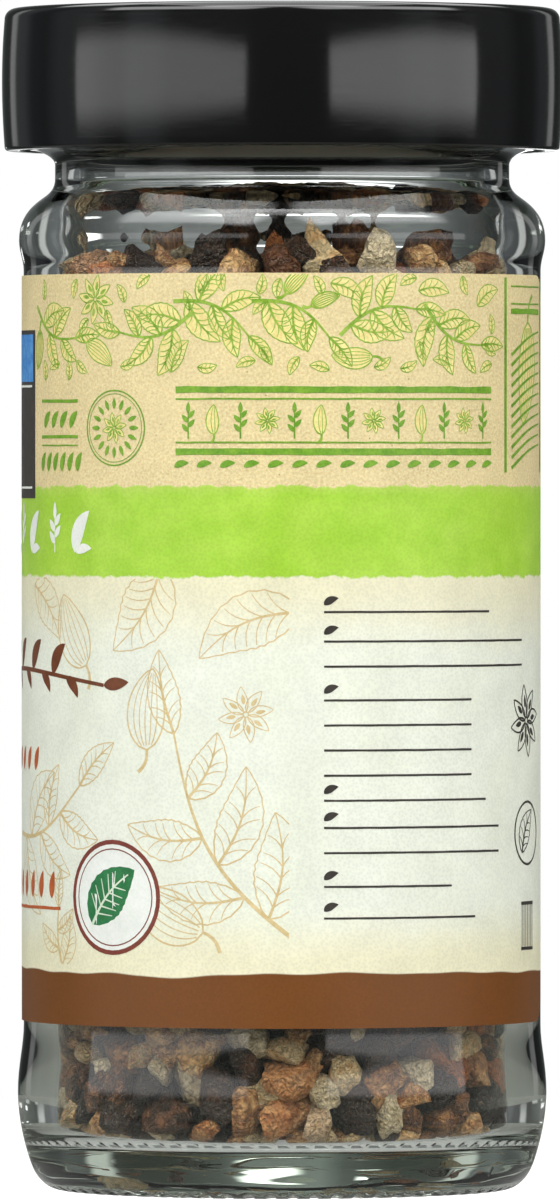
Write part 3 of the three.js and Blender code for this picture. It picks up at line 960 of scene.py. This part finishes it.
def makeSeedShape(index, cuts, rng):
    # one angular seed about one unit across: a cube cut up, swollen, flattened on a few sides and wrinkled
    deselectAll()
    bpy.ops.mesh.primitive_cube_add(size=1)
    seed = bpy.context.object
    seed.name = f"seedShape{index}"
    startEditing(seed)
    bpy.ops.mesh.subdivide(number_cuts=cuts)
    bpy.ops.transform.tosphere(value=rng.uniform(0.7, 0.95))
    stopEditing()
    for _ in range(seeds.flatSides):
        normal = Vector((rng.gauss(0, 1), rng.gauss(0, 1), rng.gauss(0, 1))).normalized()
        flat = rng.uniform(0.3, 0.44)
        for vertex in seed.data.vertices:
            reach = vertex.co.dot(normal)
            if reach > flat:
                vertex.co -= normal * (reach - flat) * 0.93
    for vertex in seed.data.vertices:
        x, y, z = vertex.co
        wrinkle = 0.065 * math.sin(x * 15 + index * 1.7 + 2.2 * math.sin(y * 5 + z * 4))
        lump = 0.09 * math.sin(y * 9 + index) * math.cos(z * 8 + index * 2)
        vertex.co *= 1 + wrinkle + lump
    seed.scale = (rng.uniform(1.18, 1.55), rng.uniform(0.98, 1.14), rng.uniform(0.82, 1.0))
    applyPlace(seed)
    own = seed.data.attributes.new("seedPlace", "FLOAT_VECTOR", "POINT")
    shift = Vector((index * 3, 0, 0))
    own.data.foreach_set("vector", [c for vertex in seed.data.vertices for c in vertex.co + shift])
    smoothUpTo(seed, 50)
    return seed


def floorHeight(distance, angle=0):
    return glass.floor + seeds.dome * max(0, 1 - distance / glass.floorRadius)


def insideRadius(height):
    g = glass
    if height > g.cavityTop:
        share = min(1, (height - g.cavityTop) / (g.boreBottom - g.cavityTop))
        return g.cavity + (g.bore - g.cavity) * share * share * (3 - 2 * share)
    if height < g.filletTop:
        share = (g.filletTop - height) / (g.filletTop - g.floor)
        return g.cavity - (g.cavity - g.floorRadius) * min(1, share) ** 2.2
    return g.cavity


def settleSeeds(count, floorAt, ceilingAt, innerRadius, rng, settled, wallShare):
    # each seed is tried at several places and kept at the lowest one, resting on those below it
    placed = np.array(settled) if settled else np.zeros((0, 4))
    added = []
    for _ in range(count):
        radius = seeds.size / 2 * (1 + rng.uniform(-1, 1) * seeds.sizeSpread)
        snug = radius * seeds.snug
        outer = glass.cavity - snug - seeds.wallClearance
        best = None
        for _ in range(seeds.tries):
            angle = rng.uniform(0, math.tau)
            if rng.random() < wallShare:
                distance = outer
            else:
                distance = math.sqrt(rng.uniform(innerRadius ** 2, outer ** 2))
            x, y = distance * math.cos(angle), distance * math.sin(angle)
            height = floorAt(distance, angle) + radius * 0.9
            if len(placed):
                away = (placed[:, 0] - x) ** 2 + (placed[:, 1] - y) ** 2
                contact = ((placed[:, 3] + radius) * seeds.touch) ** 2
                near = away < contact
                if near.any():
                    height = max(height, float((placed[near, 2] + np.sqrt(contact[near] - away[near])).max()))
            if best is None or height < best[2]:
                best = (x, y, height, distance, angle)
        x, y, height, distance, angle = best
        if height > ceilingAt(distance, angle):
            continue
        nearest = min(insideRadius(height + radius * 0.5), insideRadius(height - radius * 0.5))
        limit = nearest - snug - seeds.wallClearance
        if distance > limit:
            x, y = x * limit / distance, y * limit / distance
        added.append((x, y, height, radius))
        placed = np.vstack([placed, added[-1]])
    return added


def inWindow(x, y, height):
    # seen through bare glass: below the label, above it, or in the gap between its ends
    angle = math.degrees(math.atan2(x, -y))
    leftEnd = paper.rightEnd + 360 - paper.sweep
    inGap = paper.rightEnd - seeds.windowMargin < angle < leftEnd + seeds.windowMargin
    return height < seeds.windowLow or height > seeds.windowHigh or inGap


def copySeed(shape, x, y, height, radius, rng):
    seed = addObject(shape.name, shape.data.copy())
    seed.location = (x * mm, y * mm, height * mm)
    seed.rotation_euler = (rng.uniform(0, math.tau), rng.uniform(0, math.tau), rng.uniform(0, math.tau))
    seed.scale = (2 * radius * mm,) * 3
    for name, tone in (("seedTone", rng.random()), ("seedBlush", rng.random())):
        own = seed.data.attributes.new(name, "FLOAT", "POINT")
        own.data.foreach_set("value", [tone] * len(seed.data.vertices))
    rng.random()  # a draw that nothing uses: without it every seed after this one would turn out another
    return seed


def keepInside(piece):
    # no corner of a seed may cut the glass
    for vertex in piece.data.vertices:
        limit = insideRadius(vertex.co.z / mm) - seeds.wallClearance
        radius = radiusOf(vertex)
        if radius > limit:
            stretchOut(vertex, limit / radius)
        vertex.co.z = max(vertex.co.z, (floorHeight(radius) + seeds.floorGap) * mm)


def markDepth(piece):
    # how deep each point lies in the imported seeds, for the shade painted into the gaps between them
    depths = []
    for vertex in piece.data.vertices:
        height = vertex.co.z / mm
        fromWall = insideRadius(height) - radiusOf(vertex)
        if height > seeds.windowHigh:
            fromWall *= seeds.heapLight  # light from above goes deeper into the heap
        depths.append(max(0.0, min(fromWall, seeds.top + 0.6 - height, height - glass.floor)))
    own = piece.data.attributes.new("seedDepth", "FLOAT", "POINT")
    own.data.foreach_set("value", depths)


def makeSeeds():
    rng = random.Random(seeds.seed)
    fineShapes = [makeSeedShape(i, seeds.fineCuts, rng) for i in range(seeds.shapes)]
    plainShapes = [makeSeedShape(i, seeds.plainCuts, rng) for i in range(seeds.shapes)]

    def heapTop(distance, angle):
        return (seeds.top - 1.9 + seeds.heap * (1 - distance / glass.cavity)
                + 0.5 * math.sin(angle * 3 + distance * 0.3))

    def coreLid(distance, angle):
        return seeds.windowHigh - 1 if distance < seeds.coreRadius else glass.floor

    settled = settleSeeds(seeds.lowCount, floorHeight, lambda *_: seeds.lowCeiling, 0, rng, [], 0.35)
    settled += settleSeeds(seeds.wallCount, floorHeight, lambda *_: seeds.top - 2.4,
                           glass.cavity - seeds.depth, rng, settled, 0.5)
    settled += settleSeeds(seeds.heapCount, coreLid, heapTop, 0, rng, settled, 0.1)
    groups = {"seedsLow": [], "seedsBehindLabel": [], "seedsHigh": []}
    for x, y, height, radius in settled:
        seen = inWindow(x, y, height)
        base = rng.choice(fineShapes if seen else plainShapes)
        group = "seedsBehindLabel" if not seen else "seedsLow" if height < 45 else "seedsHigh"
        groups[group].append(copySeed(base, x, y, height, radius, rng))
    pieces = []
    for name, members in groups.items():
        piece = joinPieces(members, name)
        applyPlace(piece)
        keepInside(piece)
        markDepth(piece)
        pieces.append(piece)
        print(name, len(members), "seeds,", len(piece.data.polygons), "faces")
    for shape in fineShapes + plainShapes:
        bpy.data.objects.remove(shape)
    return pieces


def makeSeedCore():
    # the packed middle, behind the seeds that can be seen, as a dark surface of painted shade
    rows = 40
    low, high = glass.floor + 4, seeds.windowHigh - 1
    profile = [(0, low)]
    profile += [(seeds.coreRadius + seeds.coreRipple * math.sin(i * 2.3), low + (high - low) * i / rows)
                for i in range(rows + 1)]
    profile += [(0, high + 0.5)]
    core = spinProfile("seedCore", profile, 60)
    for vertex in core.data.vertices:
        stretchOut(vertex, 1 + seeds.coreSwell * math.sin(angleOf(vertex) * 17 + vertex.co.z * 900))
    return core


def seedMaterial():
    material, tree = newMaterial("seedSkin")

    def attribute(name, output="Fac"):
        return addNode(tree, "Attribute", {"attribute_name": name}).outputs[output]

    own = attribute("seedPlace", "Vector")
    warp = addNode(tree, "TexNoise", Vector=own, Scale=5.0, Detail=1.0)
    wandering = addNode(tree, "VectorMath", {"operation": "MULTIPLY_ADD"}, i0=warp.outputs[1],
                        i1=(0.35, 0.35, 0.35), i2=own)
    pebbles = addNode(tree, "TexVoronoi", {"feature": "SMOOTH_F1"}, Vector=wandering, Scale=6.5,
                      Smoothness=0.35).outputs["Distance"]
    flecksAndGlints = addNode(tree, "TexVoronoi", Vector=own, Scale=7.0).outputs["Distance"]
    grit = noiseAt(tree, own, 19.0, 4.0, 0.7)
    blotch = mapRange(tree, noiseAt(tree, own, 2.6, 3.0, 0.6), 0.35, 0.65, -0.1, 0.1)
    skin = colourRamp(tree, mathNode(tree, "ADD", attribute("seedTone"), blotch), [
        (0.0, *srgb(22, 14, 9)), (0.26, *srgb(46, 28, 18)), (0.38, *srgb(104, 65, 41)),
        (0.5, *srgb(180, 122, 76)), (0.62, *srgb(246, 192, 130)), (0.74, *srgb(255, 220, 166)),
        (0.84, *srgb(216, 190, 146)), (1.0, *srgb(255, 232, 192)),
    ])
    for factor, tint in (
        (mapRange(tree, attribute("seedBlush"), 0.8, 0.95, 0.0, 0.6), (214, 120, 58)),  # rust on some
        (mapRange(tree, pebbles, 0.36, 0.72, 0.0, 0.4, True), (62, 34, 20)),  # painted shade in the valleys of the wrinkles
        (mapRange(tree, grit, 0.56, 0.76, 0.0, 0.4), (250, 228, 186)),  # dust
        (mapRange(tree, flecksAndGlints, 0.07, 0.03, 0.0, 0.7), (245, 240, 225)),  # pale flecks, partly real pale specks and partly painted glints
        (mapRange(tree, attribute("seedDepth"), 0.7, 2.2, 0.0, 0.96), (14, 9, 7)),  # shade between the seeds
    ):
        skin = mixColour(tree, factor, skin, srgb(*tint))
    height = mathNode(tree, "SUBTRACT", times(tree, grit, 0.2), pebbles)
    bumpySurface(tree, skin, 0.36, height, 1.0, 0.0008, IOR=1.42)
    return material


def coreMaterial():
    material, tree = newMaterial("packedSeedsPaintedShade")
    noise = noiseAt(tree, objectPlace(tree), 300.0, 4.0)
    # near-black browns: painted shade standing in for the seeds deep in the jar
    bumpySurface(tree, mixColour(tree, noise, srgb(26, 18, 14), srgb(52, 36, 27)), 0.9, noise, 1.0, 0.002)
    return material


seedSkin = seedMaterial()
for piece in makeSeeds():
    putOn(piece, seedSkin)
    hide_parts("seeds")
    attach(piece, "jar")
seedCore = makeSeedCore()
putOn(seedCore, coreMaterial())
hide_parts("seeds")
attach(seedCore, "jar")


# The floor, the lamps and the camera

studio = {  # in metres
    "cameraDistance": 1.4, "cameraHeight": 0.067, "jarOffset": 0.0002, "lens": 450.4, "aimHeight": 0.0549,
    "floorRadius": 0.2, "lampAim": 0.06, "underJar": (0.031, 0.021, 0.34), "floorGlow": 0.9, "leftGlow": 1.0,
    "rightGlow": 0.6,
}
lamps = {  # degrees to the right of the camera, degrees up, distance, width, height, power, edge fades
    "leftStrip": (-54, 3.5, 1.3, 2.2, 0.34, 3.9, 0.03, 0.3),
    "rightStrip": (53, 3.5, 1.3, 1.8, 0.34, 3.8, 0.04, 0.3),
    "leftBox": (-48, 42, 1.3, 1.7, 0.8, 19.5, 0.15, 0.3),
    "rightBox": (48, 42, 1.3, 1.7, 0.8, 19.5, 0.15, 0.3),
    "leftRim": (-146, 10, 1.3, 0.24, 0.9, 0.34, 0.3, 0.3),
    "rightRim": (146, 10, 1.3, 0.24, 0.9, 0.34, 0.3, 0.3),
    "backGlow": (178, -1, 1.3, 0.26, 0.07, 0.14, 0.3, 0.3),
    "backSpark": (-167, -1, 1.3, 0.12, 0.06, 0.05, 0.3, 0.3),
    "frontTop": (0, 62, 1.3, 1.4, 0.6, 10.5, 0.2, 0.2),
    "topBox": (0, 85, 1.1, 1.0, 1.0, 8),
    "backTop": (180, 56, 1.3, 1.8, 0.7, 13, 0.2, 0.2),
}
roomGrey = [  # from straight behind the jar, 0, round to the camera, 1
    (0.0, 0.26, 0.27, 0.27), (0.03, 0.26, 0.28, 0.28), (0.05, 0.12, 0.13, 0.13), (0.1, 0.05, 0.06, 0.055),
    (0.15, 0.05, 0.055, 0.05), (0.2, 0.12, 0.13, 0.13), (0.26, 0.15, 0.16, 0.17), (0.3, 0.06, 0.065, 0.07),
    (0.36, 0.05, 0.055, 0.06), (0.42, 0.17, 0.18, 0.19), (0.52, 0.2, 0.21, 0.22), (0.57, 0.05, 0.055, 0.06),
    (0.61, 0.05, 0.055, 0.06), (0.64, 0.22, 0.24, 0.25), (0.7, 0.2, 0.22, 0.23), (0.74, 0.05, 0.055, 0.055),
    (1.0, 0.04, 0.045, 0.04),
]


def makeFloor():
    deselectAll()
    bpy.ops.mesh.primitive_circle_add(vertices=96, radius=studio["floorRadius"], fill_type="NGON")
    floor = bpy.context.object
    floor.name = "paleFloor"
    material, tree = newMaterial("paleSweep")
    place = objectPlace(tree)
    colour = mixColour(tree, noiseAt(tree, place, 6.0, 2.0), (0.13, 0.135, 0.12), (0.16, 0.165, 0.15))
    cloth = addNode(tree, "BsdfDiffuse", Color=colour)
    # a painted glow in the floor under and round the jar, fading out between the two radii of underJar
    out = addNode(tree, "VectorMath", {"operation": "LENGTH"}, i0=place).outputs[1]
    outer, inner, glow = studio["underJar"]
    paintedGlow = addNode(tree, "Emission", Strength=mapRange(tree, out, outer, inner, 0.0, glow))
    clothAndGlow = addNode(tree, "AddShader", i0=cloth, i1=paintedGlow)
    bright = addNode(tree, "Emission", Strength=studio["floorGlow"])
    seen = addNode(tree, "AddShader", i0=clothAndGlow, i1=bright)
    addNode(tree, "OutputMaterial", Surface=shadeByRay(tree, "Is Camera Ray", clothAndGlow, seen))
    putOn(floor, material)


def softenLamp(lamp, sideFade, lowFade):
    # the box fades at its edges, as cloth over a lamp does: U runs across it and V goes up
    lamp.use_nodes = True
    tree = lamp.node_tree
    parts = splitVector(tree, addNode(tree, "TexCoord").outputs["UV"])
    strength = 1.0
    for part, start, end in ((0, 0.0, sideFade), (0, 1.0, 1.0 - sideFade), (1, 0.0, lowFade), (1, 1.0, 0.75)):
        strength = times(tree, mapRange(tree, parts[part], start, end, 0.0, 1.0, True), strength)
    tree.links.new(strength, tree.nodes["Emission"].inputs["Strength"])


def addLamp(name, azimuth, elevation, distance, width, height, power, *fades):
    # a soft box turned to the jar
    lamp = bpy.data.lights.new(name, "AREA")
    lamp.shape = "RECTANGLE"
    lamp.size, lamp.size_y = width, height
    lamp.energy = power
    holder = addObject(name, lamp)
    a, e = math.radians(azimuth), math.radians(elevation)
    aim = Vector((0, 0, studio["lampAim"]))
    away = Vector((math.sin(a) * math.cos(e), -math.cos(a) * math.cos(e), math.sin(e)))
    holder.location = aim + distance * away
    holder.rotation_euler = (aim - holder.location).to_track_quat("-Z", "Y").to_euler()
    holder.visible_camera = False
    if fades:
        softenLamp(lamp, *fades)


def makeRoom():
    world = bpy.data.worlds.new("studioAir")
    bpy.context.scene.world = world
    world.use_nodes = True
    tree = world.node_tree
    tree.nodes.clear()
    white = addNode(tree, "Background", Color=(1, 1, 1, 1))
    # the grey room round the table: paler at the sides, which the thick glass walls gather in soft streaks
    parts = splitVector(tree, addNode(tree, "TexCoord").outputs["Generated"])
    side = mathNode(tree, "ABSOLUTE", parts[0])
    back = mathNode(tree, "DIVIDE", mathNode(tree, "ARCTAN2", side, parts[1]), math.pi)
    dim = addNode(tree, "Background", Color=colourRamp(tree, back, roomGrey),
                  Strength=mapRange(tree, parts[0], -0.6, 0.6, studio["leftGlow"], studio["rightGlow"]))
    addNode(tree, "OutputWorld", Surface=shadeByRay(tree, "Is Camera Ray", dim, white))
    bpy.context.scene.view_settings.view_transform = "Standard"


def makeCamera():
    camera = addObject("camera", bpy.data.cameras.new("camera"))
    camera.location = (-studio["jarOffset"], -studio["cameraDistance"], studio["cameraHeight"])
    aim = Vector((-studio["jarOffset"], 0, studio["aimHeight"]))
    camera.rotation_euler = (aim - camera.location).to_track_quat("-Z", "Y").to_euler()
    camera.data.lens = studio["lens"]
    camera.data.sensor_width = 36
    camera.data.clip_start = 0.05
    bpy.context.scene.camera = camera


makeFloor()
for name, settings in lamps.items():
    addLamp(name, *settings)
makeRoom()
makeCamera()
